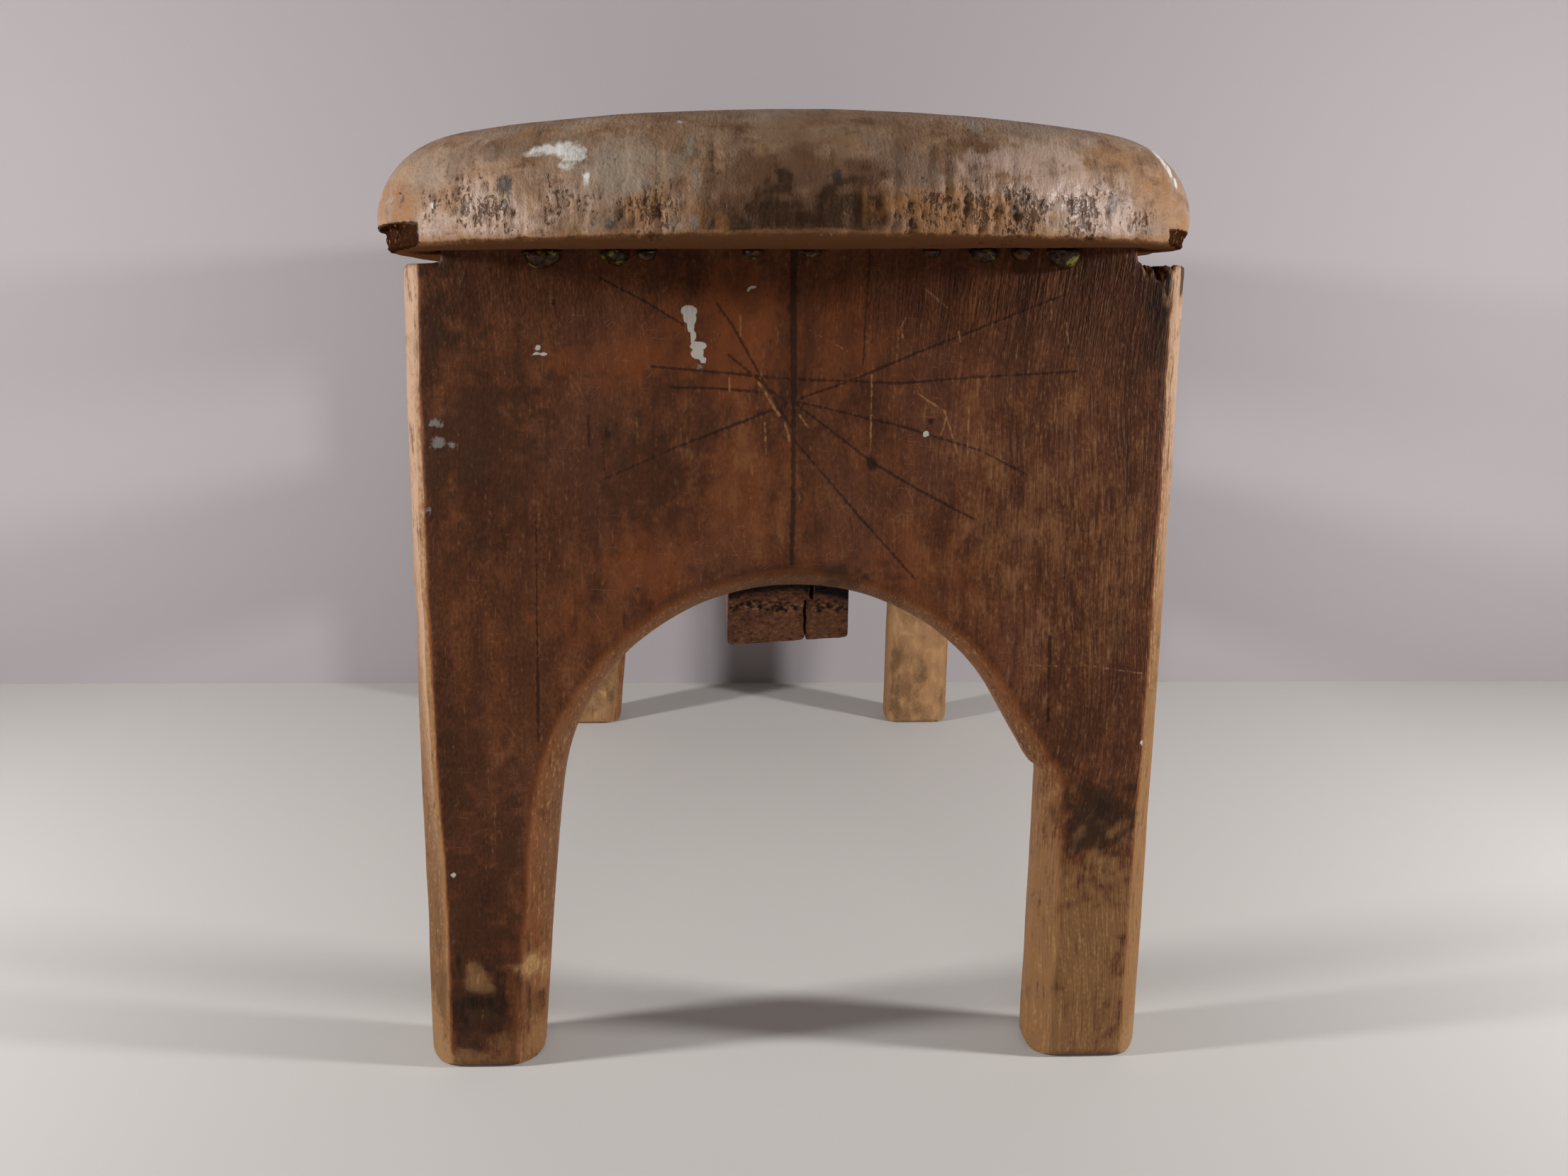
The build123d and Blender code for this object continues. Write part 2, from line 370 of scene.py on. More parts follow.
wood = laid(tree, wood, "#846850", read["along"], 0.2, 1.0, 0.6)
grained = varied(tree, read["along"], [(long_grain, 2.4), (fibres, 0.9), (grime, 0.5)])
wood = laid(tree, wood, "#5f4530", grained, 0.95, 1.45, 0.75)
grained = varied(tree, read["along"], [(long_grain, -2.4), (fibres, -0.9), (grime, 0.6)])
wood = laid(tree, wood, "#a3876c", grained, 1.0, 1.5, 0.6)
wood = laid(tree, wood, "#877668", clouds, 0.50, 0.64, 0.5)
wood = laid(tree, wood, "#9a744c", grime, 0.54, 0.68, 0.45)
wood = laid(tree, wood, "#a8937e", smears, 0.56, 0.70, 0.4)
wood = laid(tree, wood, "#4b3626", pores, 0.38, 0.28, 0.3)
dusk = [(grime, 1.0), (clouds, 0.5), (smears, 0.7), (specks, 0.5), (fibres, 0.5)]
dusk = varied(tree, read["dark"], dusk)
wood = laid(tree, wood, "#634530", dusk, 0.15, 0.75, 0.92)
wood = laid(tree, wood, "#38220f", dusk, 0.72, 1.2, 0.92)
rosy = varied(tree, read["pink"], [(fibres, 0.5), (specks, 0.5), (smears, 0.6), (grime, 0.4)])
wood = laid(tree, wood, "#aa9081", rosy, 0.2, 0.9, 0.85)
tawny = varied(tree, read["ochre"], [(fibres, 0.7), (specks, 0.9), (grime, 0.8)])
wood = laid(tree, wood, "#8d6139", tawny, 0.25, 1.05, 0.75)
misty = varied(tree, read["haze"], [(grime, 1.2), (specks, 0.3), (smears, 0.8)])
wood = laid(tree, wood, "#8f8171", misty, 0.25, 1.1, 0.75)
inky = varied(tree, read["blue"], [(specks, 2.0), (fibres, 0.8), (grime, 1.2)])
wood = laid(tree, wood, "#2f2d33", inky, 0.4, 1.0, 0.75)
under = varied(tree, read["below"], [(specks, 0.5), (grime, 0.6)])
wood = laid(tree, wood, "#9a7049", under, 0.12, 0.4, 0.5)
wood = laid(tree, wood, "#69452d", under, 0.45, 0.8, 0.95)
cracks = varied(tree, read["end_grain"], [(fibres, -1.0), (specks, -0.8), (grime, -0.5)])
wood = laid(tree, wood, "#3f2a1c", cracks, 1.1, 1.3, 0.4)
# Pits too small for the mesh, painted dark: painted shade inside them, and dirt.
shaded_pits = varied(tree, read["pitted"], [(specks, -2.1), (fibres, -0.9), (grime, -1.9)])
span = {"Value": shaded_pits, "From Min": 0.92, "From Max": 1.3}
shaded_pits = add(tree, "MapRange", span, interpolation_type="SMOOTHSTEP").outputs[0]
wood = laid(tree, wood, "#4b3120", shaded_pits, 0.0, 1.0, 0.75)
holes = varied(tree, read["deep"], [(specks, 0.7)])
wood = laid(tree, wood, "#3f2917", holes, 0.25, 0.65, 0.8)
rent = varied(tree, read["chipped"], [(specks, 0.9), (fibres, 0.6)])
wood = laid(tree, wood, "#2c170b", rent, 0.2, 0.5, 0.98)
wood = laid(tree, wood, "#8a5a33", rent, 1.08, 1.25, 0.7)
rent = varied(tree, read["chipped"], [(specks, -0.9), (grime, -0.6)])
wood = laid(tree, wood, "#150c07", rent, 0.98, 1.15, 0.8)
milky = varied(tree, read["chalk"], [(specks, 1.2), (grime, 0.8), (smears, 1.4)])
wood = laid(tree, wood, "#cdcac4", milky, 0.35, 1.15, 0.9)
sheen = summed(tree, [(grime, 0.5), (read["end_grain"], 0.06), (read["pink"], -0.16)], 0.25)
height = summed(
    tree, [(fibres, 0.2), (pores, 0.2), (specks, 0.25), (grime, 0.7), (smears, 0.3), (shaded_pits, -0.5)]
)
bump = add(tree, "Bump", {"Height": height, "Strength": 0.8, "Distance": mm}).outputs[0]
feed(tree, shader, {"Base Color": wood, "Roughness": sheen, "Specular IOR Level": 0.14, "Normal": bump})
seat.data.materials.append(finish)

# The same beech where nobody touches it, on the underside and in the broken corners: dull and dry.
dry = finish.copy()
dry.name = "dry split beech"
dry.node_tree.nodes["Principled BSDF"].inputs["Specular IOR Level"].default_value = 0.0
seat.data.materials.append(dry)
starts = np.empty(len(seat.data.polygons), np.int32)
spots = np.empty(len(seat.data.loops), np.int32)
seat.data.polygons.foreach_get("loop_start", starts)
seat.data.loops.foreach_get("vertex_index", spots)
untouched = ((normals[:, 2] < -0.6) | (chipped > 0.5))[spots[starts]]
seat.data.polygons.foreach_set("material_index", untouched.astype(np.int32))
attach(seat, "root")
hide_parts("seat")


# The end boards: two planks 22 mm thick with their grain upright, sawn to one pattern with an arch
# between the legs and chamfered all round. The outer faces are dark with smoke, hands and old wax,
# the chamfers are rubbed back to pale wood, and the inner faces never darkened as much.
board_voxel = 0.9
board_middle_x = 3.09
outer_face = 194.0
inner_face = 172.0
foot_half_width = 117.3
top_half_width = 115.3
shoulder_z = 254.0
arch_x, arch_z, arch_radius = 3.34, 85.6, 72.95
left_leg_x, right_leg_x = -77.1, 82.2
nick_x, nick_z = 79.2, 100.0
foot_corners = ((-113.9, -1), (-77.4, 1), (82.5, -1), (120.1, 1))
foot_radius, worn_radius = 7.0, 4.0
board_wear = 0.35
bruise_depth = 0.5
washboard = 0.2

# The chamfers were cut by eye: their widths at the top and at the foot, and round the arch at the
# crown, the left leg and the right leg. The right shoulder tore along its grain from torn_x outwards,
# and the left one stands a little higher than it was packed.
outer_chamfer = (5.4, 8.0)
arch_chamfer = (5.0, 8.8, 7.2)
torn_x, torn_depth = 102.0, 5.0
raised_x, raised_height = (100.0, 101.5), 1.4


def from_line(points, line):
    """How far into the wood each point lies, across an upright board, from a line of (x, z) corners
    that keeps the wood on its right, and the unit way into the wood there."""
    spot = points[:, [0, 2]]
    deep = np.full(len(points), 1e9)
    way = np.zeros((len(points), 2))
    for start, end in zip(line, line[1:]):
        run = np.subtract(end, start)
        inwards = np.array((run[1], -run[0])) / np.hypot(*run)
        along = np.clip((spot - start) @ run / (run @ run), 0, 1)
        off = spot - start - along[:, None] * run
        far = np.linalg.norm(off, axis=1)
        nearer = far < np.abs(deep)
        deep[nearer] = np.where(off @ inwards < 0, -far, far)[nearer]
        way[nearer] = inwards
    return deep, way


def pare(points, line, width, side):
    """Chamfers a board's arris along a line to the given width, moving each point half of its spare
    wood each way: the new points, and how far inside the chamfer's border each one lies."""
    off, way = from_line(points, line)
    from_middle = np.abs(points[:, 1]) - (outer_face + inner_face) / 2
    below_face = (outer_face - inner_face) / 2 - np.abs(from_middle)
    spare = np.clip(width - off - below_face, 0, None) * (off < 20) / 2
    moved = points.copy()
    moved[:, 1] -= np.sign(from_middle) * side * spare
    moved[:, [0, 2]] += way * spare[:, None]
    return moved, width - off


def squared_foot(points):
    """The points with each foot's lower corners filled out to the smaller radius they were worn to."""
    moved = points.copy()
    inner = foot_radius - worn_radius
    for x, way in foot_corners:
        off = np.stack([(points[:, 0] - x) * way + foot_radius, foot_radius - points[:, 2]], axis=1)
        far = np.maximum(np.linalg.norm(off, axis=1), 1e-6)
        turn = np.clip(off / far[:, None], 1e-6, 1)
        both = inner * turn.sum(axis=1)
        curve = both + np.sqrt(np.maximum(both**2 - 2 * inner**2 + worn_radius**2, 0))
        flat = foot_radius / turn.max(axis=1)
        reach = np.where(flat * turn.min(axis=1) > inner, curve, flat) / foot_radius - 1
        reach = np.where(np.all((off > 0) & (off < foot_radius + 1), axis=1), reach, 0)
        moved[:, 0] += off[:, 0] * way * reach
        moved[:, 2] -= off[:, 1] * reach
    return moved


# The outlines: up the right leg, over the nick, round the arch and down the left leg, then both sides.
sweep = np.linspace(0.52, pi - 0.085, 56)
arch_line = [(right_leg_x, 0.0), (right_leg_x, nick_z - 3), (nick_x, nick_z + 1)]
arch_line += [(arch_x + arch_radius * cos(a), arch_z + arch_radius * sin(a)) for a in sweep]
arch_line += [(left_leg_x, 0.0)]
left_line = [(board_middle_x - foot_half_width, 0.0), (board_middle_x - top_half_width, shoulder_z)]
right_line = [(2 * board_middle_x - x, z) for x, z in reversed(left_line)]

# Marks on the front board's face, as x, z, half width, half height and weight.
smoke_places = [
    (-104, 232, 10, 28, 0.9), (-94, 200, 24, 34, 0.85), (-45, 192, 16, 22, 0.8), (-84, 248, 24, 10, 0.5),
    (2, 163, 30, 6, 0.8), (17, 161, 13, 5, 1.2), (88, 242, 18, 18, 0.5), (70, 232, 6, 11, 0.6),
    (110, 235, 8, 20, 0.9), (-98, 55, 16, 40, 0.8), (100, 84, 17, 13, 1.1), (112, 190, 7, 60, 0.35),
    (-80, 130, 8, 34, 0.5), (50, 254, 40, 5, 0.4), (92, 112, 22, 18, 0.6), (1, 232, 5, 28, 0.6),
    (-100, 22, 18, 18, 1.0), (45, 240, 30, 14, 0.2), (-100, 100, 10, 40, 0.8), (-86, 80, 6, 30, 0.8),
    (-92, 12, 14, 9, 0.6), (-60, 190, 12, 26, 0.6),
]  # fmt: skip
warm_places = [
    (-20, 234, 26, 22, 0.9), (-48, 226, 24, 8, 0.9), (12, 234, 26, 20, 0.7), (-12, 190, 20, 22, 0.7),
    (-42, 164, 20, 15, 0.8), (-30, 176, 16, 12, 0.6), (-60, 150, 20, 14, 0.6), (40, 165, 28, 16, 0.6),
    (-94, 140, 14, 55, 0.4), (60, 120, 12, 30, 0.6), (-5, 170, 30, 8, 0.5), (30, 205, 16, 16, 0.4),
]  # fmt: skip
pale_places = [
    (74, 178, 28, 34, 0.44), (66, 205, 30, 16, 0.28), (101, 165, 11, 44, 0.4), (88, 140, 14, 20, 0.3),
    (-97.5, 35, 2.5, 3, 1.1), (-97, 31.5, 4, 3, 1.2), (-95.5, 28.5, 5, 2, 1.1), (100, 36, 20, 40, 1.2),
    (97, 12, 26, 22, 1.2), (-80, 34, 5, 5, 1.6), (-76, 31, 3, 6, 1.4), (-77, 8, 6, 6, 0.9),
    (-12, 188, 22, 28, 0.3), (-98, 2, 18, 5, 0.8), (-88, 8, 8, 5, 0.5),
]  # fmt: skip
black_places = [
    (-97, 23.5, 6, 3.5, 0.8), (-89.5, 27, 2, 11, 0.8), (-102.5, 37, 1.5, 7, 0.9),
    (-98, 47, 10, 8, 0.45), (-103, 19, 3, 6, 0.8), (-94, 14, 8, 4, 0.6), (101, 87, 5, 6, 0.8),
    (100, 81, 13, 9, 0.35), (-58.7, 205.8, 0.7, 6, 0.7), (-53.4, 205.8, 0.9, 2.9, 1),
    (-54.6, 197.5, 0.5, 6, 0.5), (-45.5, 158.4, 3.2, 0.8, 0.9), (-43.6, 156, 1, 3, 0.9),
    (-48.8, 149.3, 1.4, 3.4, 0.7), (-46.5, 155, 1, 1.4, 0.7), (25.1, 197.1, 1.7, 2.3, 1.1),
    (-0.2, 241.7, 1.2, 3.6, 0.9), (90.6, 180.9, 1.8, 1.2, 0.6), (72, 143.5, 1.8, 2.2, 0.6),
    (-71.9, 245.8, 0.7, 0.7, 1.3), (-68.1, 242.8, 0.8, 0.8, 1.3), (42.5, 209.9, 0.7, 0.7, 1.6),
    (108.5, 244, 4, 8, 0.8), (106, 232, 4, 8, 0.35), (86.1, 228.7, 1.2, 4, 0.4),
    (-75.3, 125, 0.5, 9, 0.7), (90, 84, 1, 5, 0.4), (-83.5, 26, 0.8, 12, 0.8), (-81, 22, 1, 8, 0.8),
    (-78, 20, 2.5, 6, 0.7), (-84.5, 12, 1, 6, 0.5), (83, 20, 1.2, 7, 0.4), (-106, 251, 5, 3, 0.7),
    (-92, 250, 3, 4, 0.3), (-80.5, 42, 0.5, 5, 0.8), (86, 63, 1, 7, 0.3), (95, 70, 1, 5, 0.3),
]  # fmt: skip
paint_places = [
    (-29.3, 241, 2.6, 1.8, 1.1), (-29.1, 239, 2.1, 2, 1.1), (-28.8, 236.6, 1.2, 2, 1.1),
    (-28.1, 233.9, 0.8, 2.2, 1.1), (-26.6, 231, 2.6, 1.4, 1.1), (-26.9, 228.8, 2, 1.7, 1.1),
    (-25.2, 227, 1.2, 1.2, 0.9), (-72.9, 230, 0.9, 1.2, 0.9), (-71.4, 228.2, 1.3, 0.8, 1),
    (-73.8, 228.1, 0.8, 0.7, 0.8), (-10.9, 247.7, 1.5, 0.45, 1.1), (-12.1, 247.1, 0.5, 0.7, 0.9),
    (41, 206.1, 1.1, 0.75, 1.3), (-103.1, 67, 0.9, 0.9, 1.3), (113.5, 109.3, 0.7, 1.1, 1),
]  # fmt: skip
smudge_places = [
    (-103.2, 207.9, 2.6, 1.5, 1), (-102.6, 202.3, 2.5, 2.2, 1), (-98.7, 201.8, 1.5, 1.2, 0.9),
    (-105.8, 182.3, 1.1, 1.5, 0.9), (-26.3, 225.2, 1.5, 1.4, 0.8), (-66, 229, 1.2, 1, 0.4),
]  # fmt: skip

# Lines struck or scratched on the front board: half width, then corners as x, z.
dark_lines = [
    (0.8, (0.8, 260), (1.0, 241.1), (1.5, 215.6)), (0.5, (1.5, 215.6), (1.8, 187), (1.6, 167)),
    (0.08, (22.8, 259), (21.8, 226.3)),
    (0.17, (1.4, 215.5), (17.9, 221.4), (38.3, 230.2), (62.8, 240)), (0.08, (62.8, 240), (80, 247)),
    (0.15, (-6.9, 222.1), (32.8, 220.9), (51.1, 222.6), (85.4, 225)),
    (0.17, (1.4, 215.5), (33.2, 208.4), (57.1, 201.5)), (0.1, (57.1, 201.5), (71.8, 194.4)),
    (0.2, (1.4, 215.2), (25.2, 197.5), (40.6, 188.7), (56.3, 180.7)),
    (0.15, (1.6, 204.1), (23.1, 179.7), (39, 162.3)),
    (0.16, (-39.9, 225), (1.4, 221.8)), (0.16, (-34.8, 219), (-22.2, 218.9), (-7.3, 217.9)),
    (0.2, (-54.3, 192), (-34.1, 201.1), (-0.6, 214.4)), (0.1, (-54, 192), (-54.6, 205)),
    (0.2, (-21, 243), (-16.4, 236.6), (-8.1, 222.1), (0.6, 208)), (0.14, (-17.8, 228.6), (-0.6, 214.8)),
    (0.1, (-55, 250), (-41, 243), (-31, 237)), (0.0, (-74.4, 192), (-74.8, 169.7), (-75.7, 111)),
    (0.25, (-75.3, 133), (-75.6, 117)), (0.35, (81.9, 143.9), (82.9, 116.8)),
    (0.25, (78.5, 99.3), (82.2, 96.5)), (0.12, (-58.8, 210.6), (-58.6, 200.9)),
]  # fmt: skip
pale_scratches = [
    (0.3, (-8.8, 220.6), (-2.8, 211.2)), (0.08, (33.9, 239.8), (32.6, 237), (33.2, 234.2)),
    (0.2, (49.7, 236), (50.3, 233.5)), (0.08, (24.4, 223.1), (24.6, 201.2)),
    (0.1, (38.3, 217.9), (46.5, 212.7), (51.2, 199.3)), (0.1, (53.6, 214.4), (53.8, 198.5)),
    (0.2, (3.1, 211.4), (6.1, 207.7)), (0.25, (-0.9, 209), (0.4, 203.5)),
    (0.02, (72.3, 135), (85.5, 134.5)), (0.04, (92.6, 134.9), (111.4, 132.2)),
    (0.1, (47, 211), (45.5, 206)), (0.1, (76.5, 245), (77, 240)), (0.1, (81.5, 239), (82.5, 233)),
    (0.06, (6, 236), (17, 230)), (0.1, (-14.5, 240), (-14.3, 234)), (0.1, (-17.5, 222), (-17.4, 218)),
    (0.1, (-7, 209), (-6.5, 200)), (0.08, (39.5, 248), (46, 243)),
]  # fmt: skip


def stroked(tree, place, lines, y):
    """How far in millimetres each place lies outside the nearest of the lines drawn on a face."""
    nearest = 99.0
    for half, *corners in lines:
        for (x0, z0), (x1, z1) in zip(corners, corners[1:]):
            run = Vector((x1 - x0, 0, z1 - z0))
            off = add(tree, "VectorMath", {0: place, 1: (x0, y, z0)}, operation="SUBTRACT").outputs[0]
            toward = run / run.length_squared
            along = add(tree, "VectorMath", {0: off, 1: toward}, operation="DOT_PRODUCT").outputs[1]
            along = add(tree, "Clamp", {0: along}).outputs[0]
            foot = add(tree, "VectorMath", {0: run, "Scale": along}, operation="SCALE").outputs[0]
            far = add(tree, "VectorMath", {0: off, 1: foot}, operation="DISTANCE").outputs[1]
            far = add(tree, "Math", {0: far, 1: half}, operation="SUBTRACT").outputs[0]
            nearest = add(tree, "Math", {0: far, 1: nearest}, operation="MINIMUM").outputs[0]
    return nearest


for node, side in (("front_board", -1), ("rear_board", 1)):
    board, points, edges, normals, proud = worn_copy("worn_" + node, node, board_voxel)
    points = squared_foot(points)
    face = ease(np.abs(points[:, 1]), inner_face + 8, inner_face + 14)
    low = ease(points[:, 2], 150, 40)
    jag = face * ease(points[:, 0], 0, 60) * ease(points[:, 2], 100, 150)
    jag = jag * (0.35 * lumps(points, (3, 3, 2.0), 71 + side) + 0.2 * lumps(points, (3, 3, 7), 70))
    uneven = 0.4 * lumps(points, 18.0, 72) + 0.2 * lumps(points, (3, 3, 7), 73) + jag
    width = outer_chamfer[0] + (outer_chamfer[1] - outer_chamfer[0]) * low + uneven
    points, edge_left = pare(points, left_line, width, side)
    points, edge_right = pare(points, right_line, width - 1.2 * low, side)
    widest = np.where(points[:, 0] < 0, arch_chamfer[1], arch_chamfer[2])
    width = arch_chamfer[0] + (widest - arch_chamfer[0]) * ease(points[:, 2], 140, 80)
    width = width + 0.6 * lumps(points, 14.0, 74) + 0.25 * lumps(points, 4.0, 75)
    points, arch_edge = pare(points, arch_line, width, side)
    near_edge = ease(np.maximum(np.maximum(edge_left, edge_right), arch_edge), -3, 0)
    points += (relax(points, edges, 4) - points) * near_edge[:, None]
    normals = facing(board.data, points)
    raised = ease(-points[:, 0], *raised_x) * ease(points[:, 2], 246, 252)
    points[:, 2] += raised_height * raised
    torn = ease(points[:, 0], torn_x - 0.5, torn_x + 0.5)
    ragged = lumps(points, (1.6, 4.0, 90.0), 76) + 0.8 * lumps(points, (3.3, 8.0, 90.0), 77) + 0.2
    reach = ease(points[:, 2], shoulder_z - 14, shoulder_z - 3)
    points[:, 2] -= torn_depth * torn * reach * np.clip(ragged, -0.1, 1)
    split_ends = torn * ease(points[:, 2], shoulder_z - 13, shoulder_z - 4)
    wave = undulation * (lumps(points, 48.0, 78 + side) + lumps(points, 15.0, 79) / 3)
    worn = board_wear * np.clip(proud, 0, 2) * (1 + 0.7 * lumps(points, 8.0, 80))
    ribs = np.clip(lumps(points, (2.2, 9, 60), 82), 0, 1) * ease(points[:, 0], 20, 80)
    dents = bruise_depth * pits(points, (12, 9, 16), 0.04, 81) + washboard * ribs
    shown = face * (1 if side < 0 else 0)
    turned = points * (-side, 1, 1)
    edge = np.maximum(edge_left, edge_right)
    fields = keep(
        board,
        points + normals * (wave - worn - dents)[:, None],
        {
            "torn": split_ends * ease(lumps(points, (1.2, 5, 60), 94), -0.3, 0.3),
            "edge": edge,
            "arch": arch_edge,
            "inside": 1 - ease(np.abs(points[:, 1]), inner_face + 3, inner_face + 9),
            "smoke": face * marks(turned, smoke_places, 0.4, 83),
            "warm": face * marks(turned, warm_places, 0.4, 85),
            "pale": face * marks(turned, pale_places, 0.35, 87),
            "black": shown * marks(points, black_places, 0.4, 89) * ease(edge, 1, -1),
            "smudge": shown * marks(points, smudge_places, 0.2, 93),
            "paint": shown * marks(points, paint_places, 0.05, 91),
            "proud": proud,
        },
    )

    # Walnut board under old wax and smoke: red-brown with upright fibres and short pores, coarser
    # towards one side. The dark patina hardly shines, and the bare chamfers are dull tan, with a painted
    # highlight along their inner border and on pale flecks. Walnut's pores are about 0.2 mm wide, and
    # are drawn at 0.5 mm so that they show.
    finish, tree, shader, place, read = new_finish("smoked walnut " + node, fields)
    own = 0.0 if side < 0 else 31.0
    bent = stirred(tree, place, (50, 50, 120), (24, 10, 0), 3.1 + own)
    loose = stirred(tree, place, (8, 8, 10), (8, 8, 10), 3.6 + own)
    streaks = figure(tree, bent, (7, 7, 150), 3.0, 1.0 + own)
    fibres = figure(tree, bent, (0.8, 0.8, 12), 2.0, 2.0 + own)
    flecks = figure(tree, bent, (0.5, 0.5, 3.0), 1.0, 8.0 + own)
    clouds = figure(tree, loose, (26, 30, 40), 4.0, 4.0 + own)
    grime = figure(tree, loose, (7, 7, 11), 5.0, 7.0 + own)
    specks = figure(tree, place, (1.0, 1.0, 1.6), 3.0, 5.0 + own)
    across, _, upper = add(tree, "SeparateXYZ", {0: place}).outputs
    span = {"Value": across, "From Min": -10.0, "From Max": -95.0 * side, "To Min": 0.15}
    coarse = add(tree, "MapRange", span, interpolation_type="SMOOTHSTEP").outputs[0]
    combed = summed(tree, [(varied(tree, 0.0, [(fibres, 1.0)]), coarse)], 0.5)
    # Pale flecks on the coarse side: partly the wood's own flecks, partly painted highlights where
    # fibres catch the light.
    glinting_flecks = summed(tree, [(varied(tree, 0.0, [(flecks, 1.0)]), coarse)], 0.5)
    wood = toned(
        tree,
        [(streaks, 0.35), (clouds, 0.3), (combed, 0.25), (grime, 0.4), (specks, 0.35), (fibres, 0.05)],
        [(0.34, "#402417"), (0.44, "#4f2d1b"), (0.54, "#613922"), (0.66, "#784b30")],
    )
    rusty = varied(tree, read["warm"], [(clouds, 0.5), (streaks, 0.9), (grime, 0.7)])
    wood = laid(tree, wood, "#7a4222", rusty, 0.25, 1.1, 0.75)
    wood = laid(tree, wood, "#523228", clouds, 0.50, 0.64, 0.35)
    wood = laid(tree, wood, "#321c11", combed, 0.42, 0.32, 0.3)
    wood = laid(tree, wood, "#331c12", specks, 0.36, 0.26, 0.6)
    # Flecks laid paler: painted highlight on fibres catching the light, and the walnut's own pale
    # flecks.
    wood = laid(tree, wood, "#8a6446", glinting_flecks, 0.58, 0.72, 0.4)
    for lean, long, seed in ((0.5, 9.0, 11), (-0.9, 4.0, 12), (1.5, 6.0, 13), (0.05, 5.0, 14)):
        tipped = add(tree, "VectorRotate", {0: place, "Angle": lean}, rotation_type="Y_AXIS").outputs[0]
        scuffs = figure(tree, tipped, (0.35, 0.8, long), 0.0, seed + own)
        scuffs = varied(tree, scuffs, [(clouds, 0.3), (grime, 0.2)])
        wood = laid(tree, wood, "#87593b", scuffs, 0.76, 0.84, 0.45)
    sooty = varied(tree, read["smoke"], [(grime, 0.9), (combed, 0.4), (streaks, 0.5)])
    wood = laid(tree, wood, "#2b190f", sooty, 0.2, 1.2, 0.75)
    tawny = summed(tree, [(read["arch"], 1.0), (specks, 2.0), (grime, 2.5)])
    wood = laid(tree, wood, "#774b2d", tawny, 1.6, 3.4, 0.8)
    crown = varied(tree, read["arch"], [(upper, 0.06), (grime, 2.0)])
    wood = laid(tree, wood, "#6c4f3a", crown, 9.0, 13.0, 0.6)
    seam = add(tree, "Math", {0: read["arch"]}, operation="ABSOLUTE").outputs[0]
    seam = varied(tree, seam, [(specks, 1.0), (grime, 1.6)])
    wood = laid(tree, wood, "#6b3d1f", seam, 1.7, 0.3, 0.6)
    shallow = add(tree, "Math", {0: read["arch"], 1: 3.0}, operation="MINIMUM").outputs[0]
    parts = [(shallow, 1.0), (across, 0.03), (upper, -0.06), (grime, 5.0), (fibres, 3.0)]
    wood = laid(tree, wood, "#866344", varied(tree, 1.1, parts), -1.5, 3.0, 0.85)
    rubbed = summed(tree, [(read["edge"], 1.0), (specks, 1.0), (fibres, 1.6)])
    wood = laid(tree, wood, "#7d4a29", rubbed, 0.3, 1.4, 0.85)
    wood = laid(tree, wood, "#87633f", rubbed, 1.2, 2.1, 0.9)
    # A pale narrow line along the chamfers' inner border: painted highlight where the rounded arris
    # catches the side lamps, and pale worn wood there.
    lit_and_worn_border = summed(tree, [(upper, 0.008), (specks, 2.4), (fibres, 2.0)])
    ridge = add(tree, "Math", {0: read["edge"], 1: 1.0, 2: 0.9}, operation="COMPARE").outputs[0]
    lit_and_worn_border = add(tree, "Math", {0: lit_and_worn_border, 1: ridge}, operation="MULTIPLY").outputs[0]
    wood = laid(tree, wood, "#b8977a", lit_and_worn_border, 3.1, 4.4, 0.65)
    cleared = {"Value": read["edge"], "From Min": 1.2, "From Max": 2.4}
    cleared = add(tree, "MapRange", cleared).outputs[0]
    parts = [(cleared, 3.0), (upper, 0.015), (across, -0.006), (grime, 1.5), (specks, 0.6)]
    wood = laid(tree, wood, "#b09078", varied(tree, 0.0, parts), 2.8, 4.3, 0.85)
    soiled = varied(tree, read["edge"], [(across, -0.03), (upper, -0.02), (grime, 6.0), (fibres, 4.0)])
    wood = laid(tree, wood, "#66462d", soiled, 2.5, 7.0, 0.75)
    hem = add(tree, "Math", {0: read["edge"], 1: read["arch"]}, operation="MAXIMUM").outputs[0]
    hem = add(tree, "Clamp", {0: hem}).outputs[0]
    scored = varied(tree, hem, [(fibres, 2.0), (specks, 2.0)])
    wood = laid(tree, wood, "#a07850", scored, 1.1, 1.6, 0.5)
    scored = varied(tree, hem, [(fibres, -1.6), (grime, -2.2), (specks, -1.2)])
    wood = laid(tree, wood, "#4c2e1c", scored, 1.1, 1.6, 0.65)
    dusty = varied(tree, read["pale"], [(combed, 1.0), (glinting_flecks, 0.6), (grime, 1.5), (specks, 0.6)])
    wood = laid(tree, wood, "#86613e", dusty, 0.15, 1.3, 0.88)
    fluff = varied(tree, read["pale"], [(fibres, 1.6), (specks, 1.2)])
    wood = laid(tree, wood, "#b38c5c", fluff, 1.2, 1.8, 0.7)
    bare = varied(tree, read["inside"], [(grime, 1.1), (streaks, 0.4)])
    wood = laid(tree, wood, "#96714f", bare, 0.25, 1.0, 0.9)
    wood = laid(tree, wood, "#b58e60", varied(tree, read["inside"], [(grime, 1.8)]), 0.98, 1.4, 0.6)
    blotch = varied(tree, read["inside"], [(clouds, -2.4), (grime, -1.2), (specks, -0.6)])
    wood = laid(tree, wood, "#5f462f", blotch, 0.8, 1.4, 0.8)
    combed_bare = summed(tree, [(combed, 1.0), (read["pale"], 0.05)])
    wood = laid(tree, wood, "#4a2b1a", combed_bare, 0.42, 0.32, 0.4)
    worn_low = varied(tree, read["smoke"], [(grime, 1.0), (specks, 0.6)])
    wood = laid(tree, wood, "#38291b", worn_low, 0.75, 1.3, 0.6)
